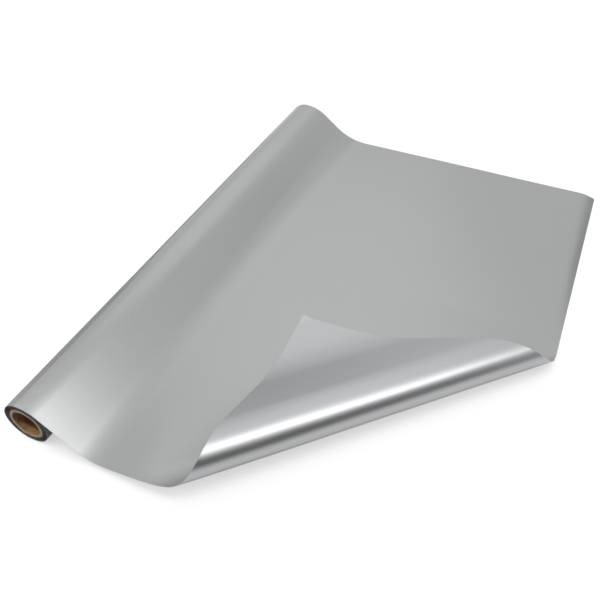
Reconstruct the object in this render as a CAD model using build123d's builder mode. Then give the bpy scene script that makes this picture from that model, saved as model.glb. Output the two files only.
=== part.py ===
from build123d import *
import os
from math import atan, cos, degrees, hypot, radians, sin, tan

# Gift wrap roll: metallic wrap wound on a board core, a length of it drawn off over the top of the roll,
# and the near corner of that length turned back over itself in a soft curl.
# Millimetres. X is the way the wrap is drawn off, Y runs along the roll, Z is up from the table.

# Board core, open right through
CORE_BORE = 34.0
CORE_WALL = 3.4
CORE_RIM_BREAK = 0.4

# Wrap: one web, wound on the core and drawn off it
WEB_WIDTH = 700.0
WEB_THICKNESS = 0.4
WOUND_DEPTH = 6.2
CORE_FIT = 0.1
FLAT_SPOT_DEPTH = 0.3
REACH = 480.0

# Spiral line that the wound turns leave on both ends of the roll
TURN_LINE_PITCH = 1.0
TURN_LINE_WIDTH = 0.4
TURN_LINE_DEPTH = 0.3

# How the web comes down from the top of the roll, at the near side and at the far side
DESCENT_ANGLE = 37.5
LIFT_RADIUS_NEAR = 30.0
LIFT_RADIUS_FAR = 56.0
FOOT_RADIUS_NEAR = 50.0
FOOT_RADIUS_FAR = 87.0
FLAT_TILT = 0.8

# The cut end curls down to the table, most at the far corner and hardly at the fold
END_CURL_RUN_FAR = 18.0
END_CURL_DROP_FAR = 5.5
END_CURL_RUN_FOLD = 3.0
END_CURL_DROP_FOLD = 0.05

# Near corner turned back: lengths along the side and along the cut end, then the shape across the fold
FOLD_SIDE = 361.0
FOLD_END = 381.0
LEAD_RADIUS = 53.0
LEAD_TURN = 40.8
CURL_RADIUS = 18.9
CURL_TURN = 137.0
EASE_RADIUS = 55.5
FLAP_SLOPE = 28.2
LANDING_RADIUS = 128.0
FLAP_GAP = 0.8
TIP_WIDTH = 3.0
CURL_STATIONS = 40
FLAP_STATIONS = 16

# Worked out from the sizes above
core_radius = CORE_BORE / 2 + CORE_WALL
wound_inner = core_radius + CORE_FIT
roll_radius = wound_inner + WOUND_DEPTH
axis_height = roll_radius - FLAT_SPOT_DEPTH
roll_top = axis_height + roll_radius
axis_x = -(REACH - roll_radius) / 2
end_x = axis_x + REACH
near_y = -WEB_WIDTH / 2
far_y = WEB_WIDTH / 2

os.makedirs("parts", exist_ok=True)


# Core: a plain tube with the sharp edges taken off its rims
with BuildPart() as core:
    with BuildSketch(Plane.XZ.offset(-far_y)):
        with Locations((axis_x, axis_height)):
            Circle(core_radius)
            Circle(CORE_BORE / 2, mode=Mode.SUBTRACT)
    extrude(amount=WEB_WIDTH)
    chamfer(core.edges().filter_by(GeomType.CIRCLE), CORE_RIM_BREAK)

core.part.label = "core"
export_step(core.part, "parts/core.step")


# The drawn-off web is a ruled sheet between sections across the roll
def along_roll(near_value, far_value, y):
    share = (y - near_y) / WEB_WIDTH
    return near_value + share * (far_value - near_value)


def web_section(y, tilt, end_run, end_drop):
    """Section of the drawn-off web at y: over the roll, down, flat, and the curl of its cut end."""
    lift_radius = along_roll(LIFT_RADIUS_NEAR, LIFT_RADIUS_FAR, y)
    foot_radius = along_roll(FOOT_RADIUS_NEAR, FOOT_RADIUS_FAR, y)
    steep = tan(radians(DESCENT_ANGLE))
    gentle = tan(radians(tilt))
    outward = Vector(cos(radians(tilt)), -sin(radians(tilt)))
    upward = Vector(sin(radians(tilt)), cos(radians(tilt)))
    curl_start = Vector(end_x, WEB_THICKNESS) - outward * end_run + upward * end_drop
    end_turn = 2 * atan(end_drop / end_run)
    foot_turn = DESCENT_ANGLE - tilt
    with BuildSketch(Plane.XZ.offset(-y)) as section:
        with BuildLine():
            lift = JernArc((axis_x, roll_top), (1, 0), lift_radius, -DESCENT_ANGLE)
            fall = (lift @ 1).Y - curl_start.Y - (curl_start.X - (lift @ 1).X) * gentle
            knee = (lift @ 1) + Vector(1, -steep) * (fall / (steep - gentle))
            descent = Line(lift @ 1, knee - (lift % 1) * foot_radius * tan(radians(foot_turn / 2)))
            foot = JernArc(descent @ 1, descent % 1, foot_radius, foot_turn)
            flat = Line(foot @ 1, curl_start)
            JernArc(flat @ 1, flat % 1, end_run / sin(end_turn), -degrees(end_turn))
            offset(amount=WEB_THICKNESS, side=Side.RIGHT, mode=Mode.REPLACE)
        make_face()
    return section.sketch


# The turn line is a spiral of half turns that ends at the top of the roll, where the web leaves it
line_outer = roll_radius - TURN_LINE_PITCH
line_turns = int((line_outer - wound_inner - TURN_LINE_WIDTH) / TURN_LINE_PITCH)
line_inner = line_outer - line_turns * TURN_LINE_PITCH


def turn_spiral(start_radius):
    """Draw the spiral from below the axis, outwards and clockwise seen from the near end."""
    start = (axis_x, axis_height - start_radius)
    half_turn = JernArc(start, (-1, 0), start_radius, -180)
    for i in range(2 * line_turns):
        half_turn = JernArc(half_turn @ 1, half_turn % 1, start_radius + (i + 1) * TURN_LINE_PITCH / 2, -180)
    return start, half_turn @ 1


# Plane of the underside of the flat run, with its origin over the cut end, halfway along the roll
flat_up = Vector(sin(radians(FLAT_TILT)), 0, cos(radians(FLAT_TILT)))
flat_run = Plane(
    origin=Vector(end_x, 0, 0) + flat_up * END_CURL_DROP_FOLD,
    x_dir=(cos(radians(FLAT_TILT)), 0, -sin(radians(FLAT_TILT))),
    z_dir=flat_up,
)

# The fold runs from the near side to the cut end, and the corner beyond it is turned back
fold_start = flat_run.from_local_coords(Vector(-FOLD_SIDE, near_y))
fold_stop = flat_run.from_local_coords(Vector(0, near_y + FOLD_END))
fold_length = hypot(FOLD_SIDE, FOLD_END)
fold_along = (fold_stop - fold_start).normalized()
fold_across = fold_along.cross(flat_run.z_dir)
tip_distance = FOLD_SIDE * FOLD_END / fold_length
flap_distance = tip_distance * (1 - TIP_WIDTH / fold_length)

# Shape across the fold, drawn flat: X across the fold, Y up from the underside of the flat run
landing_height = 2 * WEB_THICKNESS + FLAP_GAP
with BuildLine() as fold_shape:
    lead = JernArc((0, 0), (1, 0), LEAD_RADIUS, LEAD_TURN)
    curl = JernArc(lead @ 1, lead % 1, CURL_RADIUS, CURL_TURN)
    ease = JernArc(curl @ 1, curl % 1, EASE_RADIUS, 180 + FLAP_SLOPE - LEAD_TURN - CURL_TURN)
    landing_fall = LANDING_RADIUS * (1 - cos(radians(FLAP_SLOPE)))
    slope_length = ((ease @ 1).Y - landing_height - landing_fall) / sin(radians(FLAP_SLOPE))
    slope = Line(ease @ 1, (ease @ 1) + (ease % 1) * slope_length)
    landing = JernArc(slope @ 1, slope % 1, LANDING_RADIUS, -FLAP_SLOPE)
    Line(landing @ 1, (landing @ 1) + (landing % 1) * tip_distance)
fold_wire = fold_shape.wires()[0]
curled_length = lead.length + curl.length + ease.length
curl_step = min(curled_length, flap_distance) / CURL_STATIONS
flap_step = max(flap_distance - curled_length, 0) / FLAP_STATIONS
fold_distances = [curl_step * i for i in range(CURL_STATIONS + 1)]
if flap_step > 0:
    fold_distances += [curled_length + flap_step * (i + 1) for i in range(FLAP_STATIONS)]

fold_plane = Plane(origin=fold_start, x_dir=fold_across, z_dir=-fold_along)


# Wrap: wound turns, drawn-off web and turned corner, all one piece
with BuildPart() as wrap:
    # Wound turns, with the small flat spot that the roll rests on
    with BuildSketch(Plane.XZ.offset(-far_y)):
        with Locations((axis_x, axis_height)):
            Circle(roll_radius)
            Circle(wound_inner, mode=Mode.SUBTRACT)
        with Locations((axis_x, 0)):
            Rectangle(2 * roll_radius, 2 * roll_radius, align=(Align.CENTER, Align.MAX), mode=Mode.SUBTRACT)
    extrude(amount=WEB_WIDTH)

    # Turn lines on the near end and the far end
    for end_y, inward in ((near_y, -TURN_LINE_DEPTH), (far_y, TURN_LINE_DEPTH)):
        with BuildSketch(Plane.XZ.offset(-end_y)):
            with BuildLine():
                inner_start, inner_end = turn_spiral(line_inner - TURN_LINE_WIDTH / 2)
                outer_start, outer_end = turn_spiral(line_inner + TURN_LINE_WIDTH / 2)
                Line(inner_start, outer_start)
                Line(inner_end, outer_end)
            make_face()
        extrude(amount=inward, mode=Mode.SUBTRACT)

    # Web from the top of the roll to its cut end
    fold_y = near_y + FOLD_END
    near_section = web_section(near_y, FLAT_TILT, END_CURL_RUN_FOLD, END_CURL_DROP_FOLD)
    fold_section = web_section(fold_y, FLAT_TILT, END_CURL_RUN_FOLD, END_CURL_DROP_FOLD)
    far_section = web_section(far_y, 0, END_CURL_RUN_FAR, END_CURL_DROP_FAR)
    loft([near_section, fold_section, far_section], ruled=True)

    # The corner beyond the fold leaves the flat run
    with BuildSketch(flat_run):
        with BuildLine():
            Polyline(
                (-FOLD_SIDE, near_y),
                (0, near_y + FOLD_END),
                (FOLD_END, near_y + FOLD_END - FOLD_SIDE),
                (FOLD_END - FOLD_SIDE, near_y - FOLD_SIDE),
                close=True,
            )
        make_face()
    extrude(amount=roll_top, both=True, mode=Mode.SUBTRACT)

    # The turned corner follows the fold's shape and narrows evenly to its tip
    for distance in fold_distances:
        place = fold_wire.position_at(distance, PositionMode.LENGTH)
        heading = fold_wire.tangent_at(distance, PositionMode.LENGTH)
        section_plane = Plane(
            origin=fold_plane.from_local_coords(place),
            x_dir=fold_along,
            z_dir=fold_across * heading.X + flat_run.z_dir * heading.Y,
        )
        left = distance * FOLD_SIDE / FOLD_END
        right = fold_length - distance * FOLD_END / FOLD_SIDE
        with BuildSketch(section_plane):
            with Locations((left, 0)):
                Rectangle(right - left, WEB_THICKNESS, align=(Align.MIN, Align.MIN))
    loft(ruled=True)

wrap.part.label = "wrap"
export_step(wrap.part, "parts/wrap.step")
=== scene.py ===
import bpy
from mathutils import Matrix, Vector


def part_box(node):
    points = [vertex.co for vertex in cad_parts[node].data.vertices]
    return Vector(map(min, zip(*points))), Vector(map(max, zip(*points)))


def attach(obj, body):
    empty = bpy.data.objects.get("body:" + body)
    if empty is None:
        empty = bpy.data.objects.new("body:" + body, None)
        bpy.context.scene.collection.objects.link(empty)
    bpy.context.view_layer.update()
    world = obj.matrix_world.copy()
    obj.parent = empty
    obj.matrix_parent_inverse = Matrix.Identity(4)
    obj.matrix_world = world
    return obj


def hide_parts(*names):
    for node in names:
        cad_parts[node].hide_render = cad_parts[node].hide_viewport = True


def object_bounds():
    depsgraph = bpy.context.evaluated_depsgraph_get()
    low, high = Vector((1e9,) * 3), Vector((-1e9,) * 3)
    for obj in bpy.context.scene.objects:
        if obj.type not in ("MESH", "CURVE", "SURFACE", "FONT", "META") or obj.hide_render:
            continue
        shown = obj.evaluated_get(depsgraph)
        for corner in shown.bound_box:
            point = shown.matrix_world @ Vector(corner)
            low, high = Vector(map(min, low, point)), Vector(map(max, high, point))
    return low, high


bl_info = {
    "name": "Gift wrap roll",
    "version": (1, 0, 0),
    "blender": (4, 5, 0),
    "location": "View3D > Sidebar > Gift Wrap",
    "description": "Builds a roll of silver gift wrap, drawn off, with its near corner turned back",
    "category": "Object",
}

from math import atan, cos, exp, hypot, pi, radians, sin, sqrt, tan

import bpy
from bpy.props import FloatProperty, FloatVectorProperty, IntProperty, PointerProperty
from mathutils import Vector

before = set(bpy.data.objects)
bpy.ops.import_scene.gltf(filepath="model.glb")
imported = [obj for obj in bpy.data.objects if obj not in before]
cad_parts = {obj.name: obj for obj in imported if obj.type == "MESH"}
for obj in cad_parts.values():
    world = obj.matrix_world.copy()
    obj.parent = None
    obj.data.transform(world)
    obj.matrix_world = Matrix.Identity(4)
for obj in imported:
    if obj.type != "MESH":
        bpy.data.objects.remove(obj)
CAD_LOW, CAD_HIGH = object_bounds()
ROLL_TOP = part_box("wrap")[1].z

# Rows of faces along the web, from the outer turn to the cut end
TURN_ROWS = 84
LIFT_ROWS = 18
FALL_ROWS = 8
FOOT_ROWS = 26
FLAT_ROWS = 8
BESIDE_FOLD_ROWS = 92
END_ROWS = 16
# The finer rows at the cut end start a little before its curl
END_ROOM = 1.2

# Rows of faces over the turned corner
CURL_ROWS = 66
FLAP_ROWS = 34
TIP_ROWS = 10

# Lengths over which the slight waves fade in: from the fold, the cut end, the start of the fold,
# and on the corner from the fold and from the tip
CALM_BY_FOLD = 0.09
CALM_BY_END = 0.06
CALM_BY_START = 0.05
CALM_BY_CURL = 0.06
CALM_BY_TIP = 0.05

# Core: faces round it, rows along it, and half the width of a ply line as a share of a ply
CORE_SIDES = 112
CORE_ROWS = 8
PLY_LINE_SHARE = 0.12

# Edges sharper than this stay sharp
SHEET_SMOOTH = radians(40)
CORE_SMOOTH = radians(30)

# Most of a noise lies between these
NOISE_SPAN = (0.3, 0.7)
# Roughness of the floor and the cards
MATT = 0.9

# The camera, and the lamps that are turned with it
CAMERA_PLACE = (0.2008, -0.6090, 0.5908)
CAMERA_DOWN = radians(46.70)
CAMERA_TURN = radians(24.65)
SENSOR_WIDTH = 36

# The floor: its size, the level that shows as white, how far its shade reaches, and where the shade fades
# out around the object
FLOOR_SIZE = 14
WHITE = 1.08
SHADE_REACH = 0.09
SHADE_FADE = (0.6, 0.95)


def length(name, description, default):
    """A length in metres that a user may change."""
    return FloatProperty(
        name=name, description=description, default=default, unit="LENGTH", precision=5
    )


def angle(name, description, default):
    """An angle that a user gives in degrees."""
    return FloatProperty(
        name=name, description=description, default=radians(default), unit="ROTATION"
    )


def share(name, description, default):
    """A share from 0 to 1."""
    return FloatProperty(
        name=name, description=description, default=default, subtype="FACTOR", min=0, max=1
    )


def whole(name, description, default, least):
    """A whole number of faces or plies."""
    return IntProperty(name=name, description=description, default=default, min=least)


def colour(name, description, default):
    """A colour of a finish."""
    return FloatVectorProperty(
        name=name, description=description, default=default, subtype="COLOR", size=3
    )


def power(name, description, default):
    """The power of a lamp."""
    return FloatProperty(name=name, description=description, default=default, unit="POWER")


class WebSizes(bpy.types.PropertyGroup):
    """The web from the outer turn of the roll to its cut end."""

    width: length("Web width", "Width of the web along the roll", 0.7)
    sheet: length("Sheet thickness", "Thickness of the visible sheet", 0.00025)
    bed: length("Bed height", "Height of the face over the table at the cut end", 0.0004)
    roll_radius: length("Roll radius", "Outside radius of the roll", 0.0267)
    flat_spot: length("Flat spot", "Depth that the roll flattens where it rests", 0.0003)
    reach: length("Reach", "From the axis of the roll to the cut end", 0.48)
    descent: angle("Descent", "Slope of the web below the roll", 37.5)
    lift_near: length("Lift radius, near", "Bend as the web leaves the roll, near side", 0.030)
    lift_far: length("Lift radius, far", "Bend as the web leaves the roll, far side", 0.056)
    foot_near: length("Foot radius, near", "Bend as the web reaches the table, near side", 0.050)
    foot_far: length("Foot radius, far", "Bend as the web reaches the table, far side", 0.087)
    tilt: angle("Flat tilt", "Slope of the flat run on the near side", 0.8)
    end_run_far: length("End curl run, far", "Length of the cut end's curl, far corner", 0.025)
    end_drop_far: length("End curl drop, far", "Drop of the cut end at the far corner", 0.0055)
    end_run_fold: length("End curl run, fold", "Length of the cut end's curl at the fold", 0.012)
    end_drop_fold: length("End curl drop, fold", "Drop of the cut end at the fold", 0.00005)
    end_taper: share("End curl taper", "How fast that drop grows towards the far corner", 0.65)
    ripple: length("Ripple", "Height of the slight waves in the flat run", 0.00025)
    corner_lift: length("Corner lift", "How far the near edge lifts where the fold starts", 0.0052)
    lift_from_fold: length("Lift place", "From the fold's start to the middle of that lift", 0.016)
    lift_run: length("Lift run", "Length of that lift along the edge", 0.032)
    lift_inward: length("Lift inward", "How far that lift reaches in from the edge", 0.06)
    columns: whole("Columns", "Faces across the web", 84, 8)


class FoldSizes(bpy.types.PropertyGroup):
    """The near corner that is turned back over the face."""

    side: length("Fold side", "Length turned back along the near side", 0.361)
    end: length("Fold end", "Length turned back along the cut end", 0.381)
    lead_radius: length("Lead radius", "Gentle bend where the fold starts", 0.053)
    lead_turn: angle("Lead turn", "Angle of that bend", 40.8)
    curl_radius: length("Curl radius", "Tight bend of the curl", 0.0189)
    curl_turn: angle("Curl turn", "Angle of the tight bend", 117.2)
    relax_radius: length("Relax radius", "Bend where the curl starts to open", 0.030)
    relax_turn: angle("Relax turn", "Angle of that bend", 28.0)
    ease_radius: length("Ease radius", "Bend where the curl eases into the flap", 0.0555)
    slope: angle("Flap slope", "Slope of the flap behind the curl", 28.2)
    landing_radius: length("Landing radius", "Bend where the flap comes down on the face", 0.128)
    gap: length("Flap gap", "Space between the flap and the face", 0.0008)
    tip: length("Tip width", "Width of the corner's tip", 0.003)
    tip_run: length("Tip run", "Length of the tip that turns up", 0.0095)
    tip_radius: length("Tip radius", "Bend where the tip turns up", 0.010)
    tip_turn: angle("Tip turn", "How far the tip turns up", 14.0)
    ripple: length("Flap ripple", "Height of the slight waves in the flap", 0.00012)


class WoundSizes(bpy.types.PropertyGroup):
    """The wound turns under the outer turn."""

    pitch: length("Turn pitch", "From one turn to the next", 0.00041)
    sheet: length("Turn thickness", "Thickness of a wound turn", 0.0003)
    inner_radius: length("Inner radius", "Inside of the first turn", 0.0206)
    start: angle("Start", "Angle back from the top where the visible outer turn starts", 285.0)
    uneven: length("Uneven edges", "How far the edges of the turns stand in and out", 0.00022)
    steps: whole("Steps", "Faces in one turn", 96, 24)


class CoreSizes(bpy.types.PropertyGroup):
    """The board core."""

    radius: length("Core radius", "Outside radius of the core", 0.0204)
    bore: length("Bore radius", "Inside radius of the core", 0.017)
    rim_break: length("Rim break", "Edge taken off the rims", 0.0004)
    ply_line: length("Ply line", "Depth of the lines between the plies on the rims", 0.00012)
    seam_pitch: length("Seam pitch", "Length of core for one turn of the spiral seam", 0.092)
    plies: whole("Plies", "Plies of board seen on the rim", 6, 2)


class Finishes(bpy.types.PropertyGroup):
    """Colours and gloss of the finishes."""

    face: colour("Face", "Satin silver of the face", (0.388, 0.396, 0.398))
    face_rough: share("Face roughness", "Roughness of the satin face", 0.3)
    face_metal: share("Face metal", "Share of bare metal in the look of the face", 0.64)
    reverse: colour("Reverse", "Glossier silver of the reverse", (0.475, 0.48, 0.487))
    reverse_rough: share("Reverse roughness", "Roughness of the reverse", 0.42)
    reverse_metal: share("Reverse metal", "Share of bare metal in the look of the reverse", 1.0)
    cut_rough: share("Cut edge roughness", "Roughness of the sheet's cut edges", 0.4)
    # Near black: the turns' cut edges with a painted shade of the gaps between the turns
    turns_edge_shade: colour("Turn edges", "Cut edges of the wound turns", (0.007, 0.0075, 0.009))
    kraft: colour("Kraft", "Board inside the core", (0.285, 0.145, 0.06))
    kraft_dark: colour("Kraft, dark", "Darker fibres and seam of the board", (0.148, 0.07, 0.025))
    rim: colour("Rim", "Cut board on the rims", (0.3, 0.262, 0.186))


class StageSettings(bpy.types.PropertyGroup):
    """Floor, lamps and camera."""

    floor: colour("Floor", "Colour of the floor", (0.9, 0.9, 0.9))
    surround: share("Surround", "Level of the pale surroundings", 0.86)
    card: colour("Dark cards", "Colour of the dark cards around the set", (0.02, 0.02, 0.02))
    grey_card: colour("Grey card", "Colour of the card behind the cut end", (0.4, 0.4, 0.4))
    box_power: power("Softbox", "Power of the softbox", 5.34)
    end_power: power("End lamp", "Power of the lamp over the near end", 0.022)
    fill_power: power("Fill", "Power of the fill over the far side", 1.36)
    lens: FloatProperty(
        name="Lens", description="Focal length in millimetres", default=40.36, subtype="DISTANCE_CAMERA"
    )


def deselect():
    """Leave edit mode and drop the selection, so that an operator acts on nothing old."""
    if bpy.context.object and bpy.context.object.mode != "OBJECT":
        bpy.ops.object.mode_set(mode="OBJECT")
    bpy.ops.object.select_all(action="DESELECT")


def pick(obj):
    """Make one object the only selected and active one."""
    deselect()
    obj.select_set(True)
    bpy.context.view_layer.objects.active = obj


def sheet_object(name, points, faces, flat_places):
    """A new mesh object, with a UV map of the sheet's own flat places in metres."""
    mesh = bpy.data.meshes.new(name)
    mesh.from_pydata([tuple(p) for p in points], [], faces)
    layer = mesh.uv_layers.new(name="flat_sheet")
    for loop in mesh.loops:
        layer.data[loop.index].uv = flat_places[loop.vertex_index]
    obj = bpy.data.objects.new(name, mesh)
    bpy.context.collection.objects.link(obj)
    return obj


def thicken(obj, thickness, reverse, rim):
    """Give a sheet its thickness, away from its face, with its own finishes on reverse and edges."""
    pick(obj)
    wall = obj.modifiers.new("thickness", "SOLIDIFY")
    wall.thickness = thickness
    wall.offset = -1
    wall.use_rim = True
    wall.material_offset = reverse
    wall.material_offset_rim = rim
    bpy.ops.object.modifier_apply(modifier=wall.name)
    bpy.ops.object.shade_smooth_by_angle(angle=SHEET_SMOOTH)


def finish_piece(obj, node):
    """The piece stands for a CAD node, which it hides, and rides on the one body."""
    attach(obj, "root")
    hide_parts(node)


def steps(count):
    """Shares from just above 0 to 1."""
    return [(i + 1) / count for i in range(count)]


def faded(distance, run):
    """0 at an edge, rising to 1 over a run away from it."""
    return min(max(distance / run, 0), 1)


def web_wave(x, y):
    """Slight waves of the flat run, from -1 to 1, in radians for each metre."""
    return (sin(x * 31 + y * 17) + sin(y * 43 - x * 12 + 1.3)) / 2


def flap_wave(along, across):
    """Slight waves of the flap, from -2 to 2, in radians for each metre."""
    return sin(along * 23 + across * 11) + sin(along * 37 - across * 29 + 0.7)


def turn_wave(back):
    """How the edges of the turns stand in and out along the winding, from -1 to 1."""
    return (sin(back * 0.37) + sin(back * 2.3 + 1.0) + 0.6 * sin(back * 5.9)) / 2.6


class WebSection:
    """Section across the roll at y: over the roll, down, flat, and the curl of the cut end.

    x is measured from the axis of the roll.
    """

    def __init__(self, web, fold, y):
        near = -web.width / 2
        along = (y - near) / web.width
        beyond = max(0.0, (y - near - fold.end) / (web.width - fold.end))
        self.lift_radius = web.lift_near + along * (web.lift_far - web.lift_near)
        self.foot_radius = web.foot_near + along * (web.foot_far - web.foot_near)
        self.tilt = web.tilt * (1 - beyond)
        run = web.end_run_fold + beyond * (web.end_run_far - web.end_run_fold)
        drop = web.end_drop_fold + beyond**web.end_taper * (web.end_drop_far - web.end_drop_fold)
        self.descent = web.descent
        self.gentle = tan(self.tilt)
        steep = tan(self.descent)
        self.curl_x = web.reach - cos(self.tilt) * run + sin(self.tilt) * drop
        self.curl_z = web.bed + sin(self.tilt) * run + cos(self.tilt) * drop
        self.end_radius = run / sin(2 * atan(drop / run))
        self.lift_end = (
            self.lift_radius * sin(self.descent),
            ROLL_TOP - self.lift_radius * (1 - cos(self.descent)),
        )
        fall = self.lift_end[1] - self.curl_z - (self.curl_x - self.lift_end[0]) * self.gentle
        knee_run = fall / (steep - self.gentle)
        back = self.foot_radius * tan((self.descent - self.tilt) / 2)
        self.foot_start = (
            self.lift_end[0] + knee_run - back * cos(self.descent),
            self.lift_end[1] - knee_run * steep + back * sin(self.descent),
        )

    def lift(self, part):
        turn = part * self.descent
        return self.lift_radius * sin(turn), ROLL_TOP - self.lift_radius * (1 - cos(turn))

    def fall(self, part):
        (x0, z0), (x1, z1) = self.lift_end, self.foot_start
        return x0 + part * (x1 - x0), z0 + part * (z1 - z0)

    def foot(self, part):
        heading = -self.descent + part * (self.descent - self.tilt)
        x = self.foot_start[0] + self.foot_radius * (sin(self.descent) + sin(heading))
        return x, self.foot_start[1] + self.foot_radius * (cos(self.descent) - cos(heading))

    def flat(self, x):
        if x <= self.curl_x:
            return self.curl_z + (self.curl_x - x) * self.gentle
        run = (x - self.curl_x) / cos(self.tilt)
        drop = self.end_radius - sqrt(max(self.end_radius**2 - run**2, 0.0))
        return self.curl_z - run * sin(self.tilt) - drop * cos(self.tilt)


def turn_point(web, wound, back):
    """(x, z, radius) of the spiral at an angle back from the roll's top, pressed flat where it rests."""
    radius = web.roll_radius - wound.pitch * back / (2 * pi)
    axis_z = web.roll_radius - web.flat_spot
    depth = (radius - wound.inner_radius) / (web.roll_radius - wound.inner_radius)
    floor = web.roll_radius - radius - web.flat_spot * (1 - depth)
    return -radius * sin(back), max(axis_z + radius * cos(back), floor), radius


def web_rows(web, fold, wound):
    """Rows of points across the web, from the outer turn to the cut end, and the row where the fold starts.

    Past that row the near end of each row runs along the fold.
    """
    near, far = -web.width / 2, web.width / 2
    fold_x = web.reach - fold.side
    across_y = [near + web.width * j / web.columns for j in range(web.columns + 1)]
    sections = [WebSection(web, fold, y) for y in across_y]

    rows = []
    for i in range(TURN_ROWS):
        x, z, _ = turn_point(web, wound, wound.start * (1 - i / TURN_ROWS))
        rows.append([Vector((x, y, z)) for y in across_y])
    rows.append([Vector((0, y, ROLL_TOP)) for y in across_y])
    bends = ((WebSection.lift, LIFT_ROWS), (WebSection.fall, FALL_ROWS), (WebSection.foot, FOOT_ROWS))
    for bend, count in bends:
        for part in steps(count):
            places = [bend(section, part) for section in sections]
            rows.append([Vector((x, y, z)) for y, (x, z) in zip(across_y, places)])
    foot_row = rows[-1]
    for part in steps(FLAT_ROWS):
        row = []
        for start, section in zip(foot_row, sections):
            x = start.x + part * (fold_x - start.x)
            row.append(Vector((x, start.y, section.flat(x))))
        rows.append(row)
    fold_row = len(rows) - 1

    curl_x = web.reach - web.end_run_far * END_ROOM
    flat_x = [fold_x + part * (curl_x - fold_x) for part in steps(BESIDE_FOLD_ROWS)]
    flat_x += [curl_x + part * (web.reach - curl_x) for part in steps(END_ROWS)]
    for x in flat_x:
        low = near + (x - fold_x) * fold.end / fold.side
        row = []
        for j in range(web.columns + 1):
            y = low + (far - low) * j / web.columns
            row.append(Vector((x, y, WebSection(web, fold, y).flat(x))))
        rows.append(row)
    return rows, fold_row


def corner_lift(web, fold, point):
    """How far the near edge lifts at a point, round where the fold starts."""
    along = (point.x - (web.reach - fold.side) - web.lift_from_fold) / web.lift_run
    inward = (point.y + web.width / 2) / web.lift_inward
    return web.corner_lift * exp(-along * along - inward * inward)


def shape_rows(web, fold, rows, fold_row):
    """Lift the near edge where the fold starts, and ripple the flat run beside the fold."""
    near = -web.width / 2
    fold_x = web.reach - fold.side
    for row in rows[TURN_ROWS + 1:fold_row]:
        for point in row:
            point.z += corner_lift(web, fold, point)
    for row in rows[fold_row:]:
        for point in row:
            from_fold = (point.y - near) * fold.side / fold.end - (point.x - fold_x)
            calm = faded(from_fold, CALM_BY_FOLD) * faded(web.reach - point.x, CALM_BY_END)
            calm *= faded(point.x - fold_x, CALM_BY_START)
            wave = web.ripple * calm * web_wave(point.x, point.y)
            point.z += wave + corner_lift(web, fold, point)


def unroll(rows, fold_row, fold_x):
    """The sheet's own flat place of each point, and the mean length before the start of the fold."""
    columns = len(rows[0])
    run = [0.0] * columns
    back = [[0.0] * columns for _ in rows]
    for i in range(fold_row - 1, -1, -1):
        for j in range(columns):
            run[j] -= (rows[i + 1][j] - rows[i][j]).length
            back[i][j] = run[j]
    flat_places = []
    for i, row in enumerate(rows):
        for j, point in enumerate(row):
            flat_places.append((point.y, back[i][j] if i < fold_row else point.x - fold_x))
    return flat_places, -sum(run) / columns


def fold_profile(fold, landing_height, reach):
    """Runs of the shape across the fold: (radius, angle), or (None, length) for a straight run."""
    rise = fold.lead_radius * (1 - cos(fold.lead_turn))
    curled = fold.lead_turn + fold.curl_turn
    rise += fold.curl_radius * (cos(fold.lead_turn) - cos(curled))
    turned = curled + fold.relax_turn
    rise += fold.relax_radius * (cos(curled) - cos(turned))
    ease_turn = pi + fold.slope - turned
    rise += fold.ease_radius * (cos(turned) - cos(turned + ease_turn))
    landing_fall = fold.landing_radius * (1 - cos(fold.slope))
    slope_run = (rise - landing_height - landing_fall) / sin(fold.slope)
    curl = [
        (fold.lead_radius, fold.lead_turn),
        (fold.curl_radius, fold.curl_turn),
        (fold.relax_radius, fold.relax_turn),
        (fold.ease_radius, ease_turn),
    ]
    flap = [(None, slope_run), (-fold.landing_radius, fold.slope)]
    landed = sum(amount if radius is None else abs(radius) * amount for radius, amount in curl + flap)
    flat_run = reach - fold.tip_run - landed
    flap += [(None, flat_run), (-fold.tip_radius, fold.tip_turn), (None, fold.tip_run)]
    return curl, flap


def along_profile(runs, distance):
    """(across, up, heading) at a distance along the shape across the fold."""
    x = z = heading = 0.0
    for radius, amount in runs:
        step = min(distance, amount if radius is None else abs(radius) * amount)
        if radius is None:
            x, z = x + step * cos(heading), z + step * sin(heading)
        else:
            new = heading + step / radius
            x += radius * (sin(new) - sin(heading))
            z += radius * (cos(heading) - cos(new))
            heading = new
        distance -= step
        if distance <= 1e-9:
            break
    return x, z, heading


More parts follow.
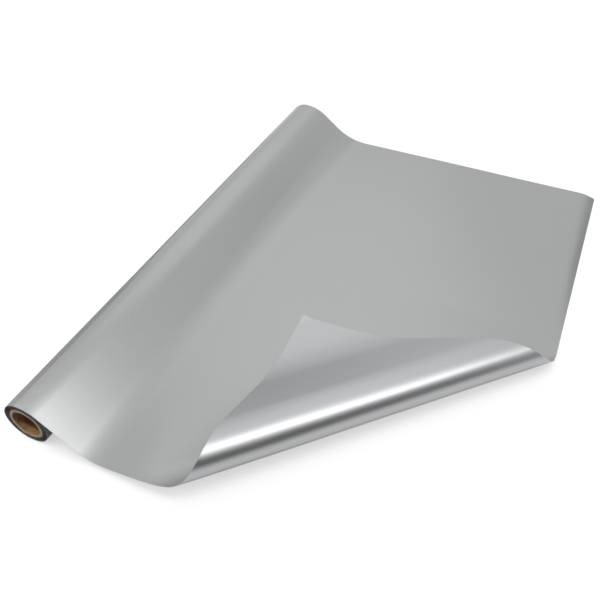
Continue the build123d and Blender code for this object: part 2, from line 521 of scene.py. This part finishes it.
def turned_corner(web, fold, shares):
    """Lines of (place, flat place) over the turned corner, from the fold to its tip."""
    near = -web.width / 2
    up = Vector((sin(web.tilt), 0, cos(web.tilt)))
    outward = Vector((cos(web.tilt), 0, -sin(web.tilt)))
    bed = Vector((web.reach, 0, 0)) + up * web.end_drop_fold
    start = bed - outward * fold.side + Vector((0, near, 0))
    stop = bed + Vector((0, near + fold.end, 0))
    fold_length = hypot(fold.side, fold.end)
    along = (stop - start).normalized()
    across = along.cross(up)
    reach = fold.side * fold.end / fold_length * (1 - fold.tip / fold_length)

    curl, flap = fold_profile(fold, 2 * web.bed + fold.gap, reach)
    curled = sum(radius * turn for radius, turn in curl)
    turned_up = reach - fold.tip_run
    distances = [curled * part for part in steps(CURL_ROWS)]
    distances += [curled + (turned_up - curled) * part for part in steps(FLAP_ROWS)]
    distances += [turned_up + fold.tip_run * part for part in steps(TIP_ROWS)]

    lines = []
    for distance in distances:
        x, z, heading = along_profile(curl + flap, distance)
        left = distance * fold.side / fold.end
        right = fold_length - distance * fold.end / fold.side
        facing = up * cos(heading) - across * sin(heading)
        calm = faded(distance, CALM_BY_CURL) * faded(reach - distance, CALM_BY_TIP)
        line = []
        for part in shares:
            t = left + (right - left) * part
            height = web.bed + fold.ripple * flap_wave(t, distance) * calm
            place = start + along * t + across * x + up * z + facing * height
            place.z += corner_lift(web, fold, place)
            flat_place = (
                near + (fold.end * t - fold.side * distance) / fold_length,
                (fold.side * t + fold.end * distance) / fold_length,
            )
            line.append((place, flat_place))
        lines.append(line)
    return lines


class Finish:
    """A material, with short ways to add the nodes that feed its shader."""

    def __init__(self, name):
        self.material = bpy.data.materials.new(name)
        self.material.use_nodes = True
        self.nodes = self.material.node_tree.nodes
        self.links = self.material.node_tree.links
        self.shader = self.nodes["Principled BSDF"]

    def give(self, socket, value):
        """Put a constant, or another node's output, on a socket."""
        if isinstance(value, bpy.types.NodeSocket):
            self.links.new(value, socket)
        else:
            socket.default_value = value

    def look(self, name, value):
        """Set one input of the shader."""
        self.give(self.shader.inputs[name], value)

    def places(self):
        """The piece's own coordinates."""
        return self.nodes.new("ShaderNodeTexCoord").outputs["Object"]

    def mapped(self, source, name, value):
        """Coordinates moved or drawn out."""
        node = self.nodes.new("ShaderNodeMapping")
        node.inputs[name].default_value = value
        self.links.new(source, node.inputs["Vector"])
        return node.outputs["Vector"]

    def noise(self, source, scale, detail, stretch):
        """A noise on the given coordinates, drawn out by stretch."""
        node = self.nodes.new("ShaderNodeTexNoise")
        node.inputs["Scale"].default_value = scale
        node.inputs["Detail"].default_value = detail
        self.links.new(self.mapped(source, "Scale", stretch), node.inputs["Vector"])
        return node.outputs["Fac"]

    def ranged(self, value, old, new):
        """Map a value between two limits to another range."""
        node = self.nodes.new("ShaderNodeMapRange")
        node.inputs["From Min"].default_value, node.inputs["From Max"].default_value = old
        node.inputs["To Min"].default_value, node.inputs["To Max"].default_value = new
        self.links.new(value, node.inputs["Value"])
        return node.outputs["Result"]

    def mixed(self, factor, first, second):
        """Mix two colours, each a colour or another node's output."""
        node = self.nodes.new("ShaderNodeMix")
        node.data_type = "RGBA"
        for name, value in (("A", first), ("B", second)):
            socket = [s for s in node.inputs if s.name == name and s.type == "RGBA"][0]
            self.give(socket, value if isinstance(value, bpy.types.NodeSocket) else (*value, 1.0))
        self.links.new(factor, node.inputs["Factor"])
        return [s for s in node.outputs if s.type == "RGBA"][0]

    def calculated(self, operation, *values):
        """One step of arithmetic on node outputs or numbers."""
        node = self.nodes.new("ShaderNodeMath")
        node.operation = operation
        for socket, value in zip(node.inputs, values):
            self.give(socket, value)
        return node.outputs["Value"]

    def from_half(self, value):
        """How far the fraction of a value lies from a half."""
        fraction = self.calculated("FRACT", value)
        return self.calculated("ABSOLUTE", self.calculated("SUBTRACT", fraction, 0.5))

    def distance(self, vector):
        """The length of a vector."""
        node = self.nodes.new("ShaderNodeVectorMath")
        node.operation = "LENGTH"
        self.links.new(vector, node.inputs[0])
        return node.outputs["Value"]

    def bumped(self, height, strength, distance, under=None):
        """A bump from a height, over another bump where one is given."""
        node = self.nodes.new("ShaderNodeBump")
        node.inputs["Strength"].default_value = strength
        node.inputs["Distance"].default_value = distance
        self.links.new(height, node.inputs["Height"])
        if under:
            self.links.new(under, node.inputs["Normal"])
        return node.outputs["Normal"]


def shades(tone, amount):
    """A darker and a lighter colour of the same tone."""
    return tuple(c * (1 - amount) for c in tone), tuple(min(c * (1 + amount), 1.0) for c in tone)


def silver_finish(name, tone, rough, metal, mottle, grain):
    """Metallised paper: fine grain along the web, soft clouding, and gloss that varies with both."""
    finish = Finish(name)
    uv = finish.nodes.new("ShaderNodeUVMap")
    uv.uv_map = "flat_sheet"
    place = uv.outputs["UV"]
    fine = finish.noise(place, scale=900.0, detail=3.0, stretch=(0.35, 1.0, 1.0))
    fibre = finish.noise(place, scale=2600.0, detail=2.0, stretch=(1.0, 1.0, 1.0))
    cloud = finish.noise(place, scale=7.0, detail=4.0, stretch=(1.0, 0.6, 1.0))
    cloudy = finish.mixed(finish.ranged(cloud, NOISE_SPAN, (0, 1)), *shades(tone, mottle))
    speck = finish.mixed(finish.ranged(fine, NOISE_SPAN, (0, 1)), *shades(tone, grain))
    blend = finish.ranged(fibre, (0.35, 0.65), (0.35, 0.65))
    finish.look("Base Color", finish.mixed(blend, cloudy, speck))
    fine_gloss = finish.ranged(fine, NOISE_SPAN, (rough * 0.94, rough * 1.06))
    cloud_gloss = finish.ranged(cloud, NOISE_SPAN, (-0.015, 0.015))
    finish.look("Roughness", finish.calculated("ADD", fine_gloss, cloud_gloss))
    finish.look("Normal", finish.bumped(fine, strength=0.12, distance=0.00004))
    finish.look("Metallic", metal)
    finish.look("Specular IOR Level", 0.1)
    return finish.material


def turn_edge_shade_finish(tone):
    """Cut edges of the wound turns, darkened to near black by a painted shade of the gaps between the
    turns, with paler strands from a noise.
    """
    finish = Finish("wound_turn_edges_shade")
    strands = finish.noise(finish.places(), scale=700.0, detail=3.0, stretch=(1.0, 0.2, 1.0))
    pale = tuple(c * 3.2 for c in tone)
    finish.look("Base Color", finish.mixed(finish.ranged(strands, (0.4, 0.8), (0, 1)), tone, pale))
    finish.look("Roughness", finish.ranged(strands, NOISE_SPAN, (0.42, 0.62)))
    finish.look("Normal", finish.bumped(strands, strength=0.3, distance=0.0001))
    finish.look("Specular IOR Level", 0.06)
    return finish.material


def kraft_finish(finishes, core, axis):
    """Spiral-wound board: fibres along the winding, a spiral seam, and pale cut plies on the rims."""
    finish = Finish("kraft_board")
    place = finish.places()
    parts = finish.nodes.new("ShaderNodeSeparateXYZ")
    finish.links.new(finish.mapped(place, "Location", (-axis.x, 0, -axis.z)), parts.inputs["Vector"])
    x, y, z = (parts.outputs[name] for name in "XYZ")

    # The seam winds round the core once in each pitch
    wound = finish.calculated("DIVIDE", finish.calculated("ARCTAN2", z, x), 2 * pi)
    advance = finish.calculated("DIVIDE", y, core.seam_pitch)
    from_seam = finish.from_half(finish.calculated("ADD", wound, advance))
    seam = finish.ranged(from_seam, (0.012, 0.004), (0.0, 1.0))
    fibres = finish.noise(place, scale=420.0, detail=5.0, stretch=(1.0, 0.3, 1.0))
    patches = finish.noise(place, scale=38.0, detail=3.0, stretch=(1.0, 0.5, 1.0))
    seam_tone = tuple(c * 0.45 for c in finishes.kraft_dark)
    board = finish.mixed(finish.ranged(fibres, NOISE_SPAN, (0, 1)), finishes.kraft_dark, finishes.kraft)
    board = finish.mixed(finish.ranged(patches, NOISE_SPAN, (0, 0.3)), board, finishes.kraft)
    board = finish.mixed(seam, board, seam_tone)

    # The plies show as rings on the rims
    flat = finish.nodes.new("ShaderNodeCombineXYZ")
    finish.links.new(x, flat.inputs["X"])
    finish.links.new(z, flat.inputs["Z"])
    ply = (core.radius - core.bore) / core.plies
    inward = finish.calculated("SUBTRACT", finish.distance(flat.outputs["Vector"]), core.bore)
    line = finish.from_half(finish.calculated("DIVIDE", inward, ply))
    cut = finish.mixed(finish.ranged(line, (0.32, 0.5), (0.0, 0.7)), finishes.rim, finishes.kraft_dark)
    cut = finish.mixed(finish.ranged(fibres, (0.4, 0.75), (0.0, 0.35)), cut, finishes.kraft)
    rim_y = CAD_HIGH.y - core.rim_break * 0.75
    on_rim = finish.calculated("GREATER_THAN", finish.calculated("ABSOLUTE", y), rim_y)

    finish.look("Base Color", finish.mixed(on_rim, board, cut))
    finish.look("Roughness", finish.ranged(fibres, NOISE_SPAN, (0.72, 0.9)))
    grooves = finish.bumped(seam, strength=0.6, distance=-0.0003)
    finish.look("Normal", finish.bumped(fibres, strength=0.35, distance=0.0001, under=grooves))
    return finish.material


class WRAP_OT_web(bpy.types.Operator):
    """Make the web: the outer turn, the drape, the flat run, the cut end's curl and the turned corner"""

    bl_idname = "wrap.web"
    bl_label = "Drawn-off web"

    def execute(self, context):
        scene = context.scene
        web, fold = scene.wrap_web, scene.wrap_fold
        fold_x = web.reach - fold.side
        rows, fold_row = web_rows(web, fold, scene.wrap_wound)
        shape_rows(web, fold, rows, fold_row)
        flat_places, run = unroll(rows, fold_row, fold_x)

        columns = web.columns + 1
        points = [point for row in rows for point in row]
        faces = []
        for i in range(len(rows) - 1):
            for j in range(columns - 1):
                k = i * columns + j
                faces.append((k, k + columns, k + columns + 1, k + 1))

        # The turned corner goes on from the near ends of the rows beside the fold
        shares = [(row[0].x - fold_x) / (web.reach - fold_x) for row in rows[fold_row:]]
        last = [i * columns for i in range(fold_row, len(rows))]
        for line in turned_corner(web, fold, shares):
            new = range(len(points), len(points) + len(line))
            points += [place for place, _ in line]
            flat_places += [flat_place for _, flat_place in line]
            for k in range(len(line) - 1):
                faces.append((last[k], new[k], new[k + 1], last[k + 1]))
            last = new

        shift = Vector((CAD_HIGH.x - web.reach, 0, 0))
        obj = sheet_object("wrap_web", [p + shift for p in points], faces, flat_places)
        for material in self.materials(scene.wrap_finishes):
            obj.data.materials.append(material)
        thicken(obj, web.sheet, reverse=1, rim=2)
        finish_piece(obj, "wrap")
        return {"FINISHED"}

    def materials(self, finishes):
        """Finishes of the sheet's face, its reverse and its cut edges."""
        face, reverse = tuple(finishes.face), tuple(finishes.reverse)
        face_metal, reverse_metal = finishes.face_metal, finishes.reverse_metal
        return (
            silver_finish(
                "silver_face", face, finishes.face_rough, face_metal, mottle=0.02, grain=0.03
            ),
            silver_finish(
                "silver_reverse", reverse, finishes.reverse_rough, reverse_metal, mottle=0.012, grain=0.015
            ),
            silver_finish(
                "silver_cut_edge", reverse, finishes.cut_rough, face_metal, mottle=0.03, grain=0.05
            ),
        )


class WRAP_OT_wound_turns(bpy.types.Operator):
    """Make the wound turns as one spiral from under the outer turn to the core"""

    bl_idname = "wrap.wound_turns"
    bl_label = "Wound turns"

    def execute(self, context):
        scene = context.scene
        web, wound, finishes = scene.wrap_web, scene.wrap_wound, scene.wrap_finishes
        axis_x = CAD_HIGH.x - web.reach
        near, far = -web.width / 2, web.width / 2
        spare = web.roll_radius - wound.sheet - wound.inner_radius
        last = spare / wound.pitch * 2 * pi
        count = int((last - wound.start) / (2 * pi) * wound.steps)
        points, faces, flat_places, run = [], [], [], 0.0
        for i in range(count + 1):
            back = last + (wound.start - last) * i / count
            x, z, radius = turn_point(web, wound, back)
            stand = wound.uneven * turn_wave(back)
            run += radius * (last - wound.start) / count
            for y in (near + wound.uneven - stand, far - wound.uneven + stand):
                points.append(Vector((axis_x + x, y, z)))
                flat_places.append((y, run))
            if i:
                faces.append((2 * i - 2, 2 * i, 2 * i + 1, 2 * i - 1))
        obj = sheet_object("wrap_turns", points, faces, flat_places)
        # The turns' cut edges carry a painted shade of the gaps between them
        edge = turn_edge_shade_finish(tuple(finishes.turns_edge_shade))
        silver = silver_finish(
            "silver_turns", tuple(finishes.face), finishes.face_rough, finishes.face_metal,
            mottle=0.02, grain=0.03,
        )
        for material in (silver, silver, edge):
            obj.data.materials.append(material)
        thicken(obj, wound.sheet, reverse=1, rim=2)
        finish_piece(obj, "wrap")
        return {"FINISHED"}


class WRAP_OT_core_tube(bpy.types.Operator):
    """Make the board core with its broken rims and the lines between its plies"""

    bl_idname = "wrap.core_tube"
    bl_label = "Board core"

    def execute(self, context):
        scene = context.scene
        core, web, finishes = scene.wrap_core, scene.wrap_web, scene.wrap_finishes
        axis = Vector((CAD_HIGH.x - web.reach, 0, web.roll_radius - web.flat_spot))
        path = self.section(core, web.width)
        deselect()
        bpy.ops.mesh.primitive_circle_add(
            vertices=CORE_SIDES,
            radius=core.radius,
            location=(axis.x, path[0][1], axis.z),
            rotation=(pi / 2, 0, 0),
        )
        obj = context.object
        obj.name = obj.data.name = "core_tube"
        bpy.ops.object.transform_apply(location=True, rotation=True, scale=True)
        bpy.ops.object.mode_set(mode="EDIT")
        bpy.ops.mesh.select_mode(type="EDGE")
        bpy.ops.mesh.select_all(action="SELECT")
        for (old_radius, old_y), (radius, y) in zip(path, path[1:]):
            bpy.ops.mesh.extrude_edges_move(TRANSFORM_OT_translate={"value": (0, y - old_y, 0)})
            grow = radius / old_radius
            if abs(grow - 1) > 1e-9:
                bpy.ops.transform.resize(value=(grow, 1, grow), center_override=axis)
        bpy.ops.mesh.select_all(action="SELECT")
        bpy.ops.mesh.remove_doubles(threshold=1e-6)
        bpy.ops.mesh.normals_make_consistent(inside=False)
        bpy.ops.object.mode_set(mode="OBJECT")
        bpy.ops.object.shade_smooth_by_angle(angle=CORE_SMOOTH)
        obj.data.materials.append(kraft_finish(finishes, core, axis))
        finish_piece(obj, "core")
        return {"FINISHED"}

    def section(self, core, width):
        """(radius, y) round the wall: over the near rim, through the bore, over the far rim and back."""
        near, far = -width / 2, width / 2
        ply = (core.radius - core.bore) / core.plies
        half_line = ply * PLY_LINE_SHARE
        rim = [(core.radius - core.rim_break, 0.0)]
        for i in range(1, core.plies):
            line = core.radius - ply * i
            rim += [(line + half_line, 0.0), (line, core.ply_line), (line - half_line, 0.0)]
        rim.append((core.bore + core.rim_break, 0.0))
        barrel = width - 2 * core.rim_break
        shares = [0] + steps(CORE_ROWS)
        path = [(core.radius, near + core.rim_break)]
        path += [(radius, near + depth) for radius, depth in rim]
        path += [(core.bore, near + core.rim_break + barrel * part) for part in shares]
        path += [(radius, far - depth) for radius, depth in reversed(rim)]
        path += [(core.radius, far - core.rim_break - barrel * part) for part in shares]
        return path


class WRAP_OT_stage(bpy.types.Operator):
    """Set out the floor, the lamps, the surroundings and the camera"""

    bl_idname = "wrap.stage"
    bl_label = "Stage"

    def execute(self, context):
        scene = context.scene
        stage = scene.wrap_stage
        scene.view_settings.view_transform = "Standard"
        self.floor(stage)
        self.surroundings(scene, stage)
        self.cards(stage)
        self.lamp(
            "softbox", stage.box_power,
            place=(0.299, -0.19, 1.0), turn=(0, 0, CAMERA_TURN), size=(1.225, 0.293),
        )
        self.lamp(
            "near_end_lamp", stage.end_power,
            place=(-0.24, -0.56, 0.92), turn=(radians(12.2), 0, 0), size=(0.08, 0.08), spread=radians(11),
        )
        self.lamp(
            "far_fill", stage.fill_power,
            place=(-0.492, 1.072, 1.0), turn=(0, 0, CAMERA_TURN), size=(0.954, 1.436),
        )
        deselect()
        bpy.ops.object.camera_add(location=CAMERA_PLACE, rotation=(CAMERA_DOWN, 0, CAMERA_TURN))
        camera = context.object
        camera.data.lens = stage.lens
        camera.data.sensor_width = SENSOR_WIDTH
        scene.camera = camera
        return {"FINISHED"}

    def floor(self, stage):
        """A white floor with a soft shade beside the object, deeper where the wrap mirrors it."""
        deselect()
        bpy.ops.mesh.primitive_plane_add(size=FLOOR_SIZE, location=(0, 0, 0))
        floor = bpy.context.object
        floor.name = "floor"
        finish = Finish("floor")
        nodes, links = finish.nodes, finish.links
        finish.look("Base Color", (*stage.floor, 1))
        finish.look("Roughness", MATT)
        finish.look("Specular IOR Level", 0.1)

        ray = nodes.new("ShaderNodeLightPath").outputs
        seen = finish.calculated("ADD", ray["Is Camera Ray"], ray["Is Glossy Ray"])
        seen = finish.calculated("ADD", seen, ray["Is Transmission Ray"])
        away = finish.distance(finish.places())
        amount = finish.ranged(away, SHADE_FADE, (0.7, 1.0))

        shade = nodes.new("ShaderNodeAmbientOcclusion")
        shade.samples = 8
        shade.inputs["Distance"].default_value = SHADE_REACH
        mirrored = finish.ranged(shade.outputs["AO"], (0.26, 0.76), (0.0, WHITE))
        direct = finish.ranged(shade.outputs["AO"], (0.0, 0.7), (0.74, WHITE))
        lighter = finish.calculated("SUBTRACT", direct, mirrored)
        lighter = finish.calculated("MULTIPLY", lighter, ray["Is Camera Ray"])
        level = finish.calculated("ADD", mirrored, lighter)
        clear = finish.ranged(away, SHADE_FADE, (0.0, WHITE))

        glow = nodes.new("ShaderNodeEmission")
        links.new(finish.calculated("MAXIMUM", level, clear), glow.inputs["Strength"])
        blend = nodes.new("ShaderNodeMixShader")
        links.new(finish.calculated("MULTIPLY", seen, amount), blend.inputs["Fac"])
        links.new(finish.shader.outputs["BSDF"], blend.inputs[1])
        links.new(glow.outputs["Emission"], blend.inputs[2])
        links.new(blend.outputs["Shader"], nodes["Material Output"].inputs["Surface"])
        floor.data.materials.append(finish.material)

    def surroundings(self, scene, stage):
        world = bpy.data.worlds.new("studio")
        scene.world = world
        world.use_nodes = True
        background = world.node_tree.nodes["Background"]
        background.inputs["Color"].default_value = (*(stage.surround,) * 3, 1)

    def cards(self, stage):
        """Cards out of the camera's sight that the wrap mirrors: three dark ones and a grey one. The dark
        one lying on the floor is a painted shadow of the roll, which only reflections see.
        """
        self.card(
            "camera_side_card", stage.card,
            place=(0.652, -1.209, 0.725), turn=(pi / 2, 0, radians(46.5)), size=(2.8, 1.45),
        )
        self.card(
            "left_low_card", stage.card,
            place=(-1.5, -0.5, 0.18), turn=(pi / 2, 0, radians(90)), size=(2.6, 0.36),
        )
        self.card(
            "back_card", stage.grey_card,
            place=(1.26, 1.42, 0.51), turn=(pi / 2, 0, 0), size=(1.28, 0.98),
        )
        # A dark sheet on the floor left of the roll: a painted shadow of the roll, which only the wrap's
        # reflections see
        painted_floor_shadow = self.card(
            "left_floor_shadow_card", stage.card,
            place=(-0.36, 0, 0.001), turn=(0, 0, 0), size=(0.16, 0.8),
        )
        painted_floor_shadow.visible_shadow = painted_floor_shadow.visible_diffuse = False

    def card(self, name, tone, place, turn, size):
        deselect()
        bpy.ops.mesh.primitive_plane_add(size=1, location=place, rotation=turn)
        card = bpy.context.object
        card.name = name
        bpy.ops.transform.resize(value=(*size, 1), orient_type="LOCAL")
        card.visible_camera = False
        finish = Finish(name)
        finish.look("Base Color", (*tone, 1))
        finish.look("Roughness", MATT)
        card.data.materials.append(finish.material)
        return card

    def lamp(self, name, watts, place, turn, size, spread=pi):
        deselect()
        bpy.ops.object.light_add(type="AREA", location=place, rotation=turn)
        lamp = bpy.context.object
        lamp.name = name
        lamp.visible_camera = False
        lamp.data.shape = "RECTANGLE"
        lamp.data.size, lamp.data.size_y = size
        lamp.data.energy = watts
        lamp.data.spread = spread


class WRAP_PT_panel(bpy.types.Panel):
    """Sidebar panel with the pieces and the sizes"""

    bl_idname = "WRAP_PT_panel"
    bl_label = "Gift wrap roll"
    bl_space_type = "VIEW_3D"
    bl_region_type = "UI"
    bl_category = "Gift Wrap"

    def draw(self, context):
        for operator in OPERATORS:
            self.layout.operator(operator.bl_idname)
        for name in SETTINGS:
            settings = getattr(context.scene, name)
            box = self.layout.box()
            for entry in type(settings).__annotations__:
                box.prop(settings, entry)


SETTINGS = {
    "wrap_web": WebSizes,
    "wrap_fold": FoldSizes,
    "wrap_wound": WoundSizes,
    "wrap_core": CoreSizes,
    "wrap_finishes": Finishes,
    "wrap_stage": StageSettings,
}
OPERATORS = (WRAP_OT_web, WRAP_OT_wound_turns, WRAP_OT_core_tube, WRAP_OT_stage)
CLASSES = (*SETTINGS.values(), *OPERATORS, WRAP_PT_panel)


def register():
    for cls in CLASSES:
        bpy.utils.register_class(cls)
    for name, cls in SETTINGS.items():
        setattr(bpy.types.Scene, name, PointerProperty(type=cls))


def unregister():
    for name in SETTINGS:
        delattr(bpy.types.Scene, name)
    for cls in reversed(CLASSES):
        bpy.utils.unregister_class(cls)


def main():
    register()
    bpy.ops.wrap.web()
    bpy.ops.wrap.wound_turns()
    bpy.ops.wrap.core_tube()
    bpy.ops.wrap.stage()


if __name__ == "__main__":
    main()
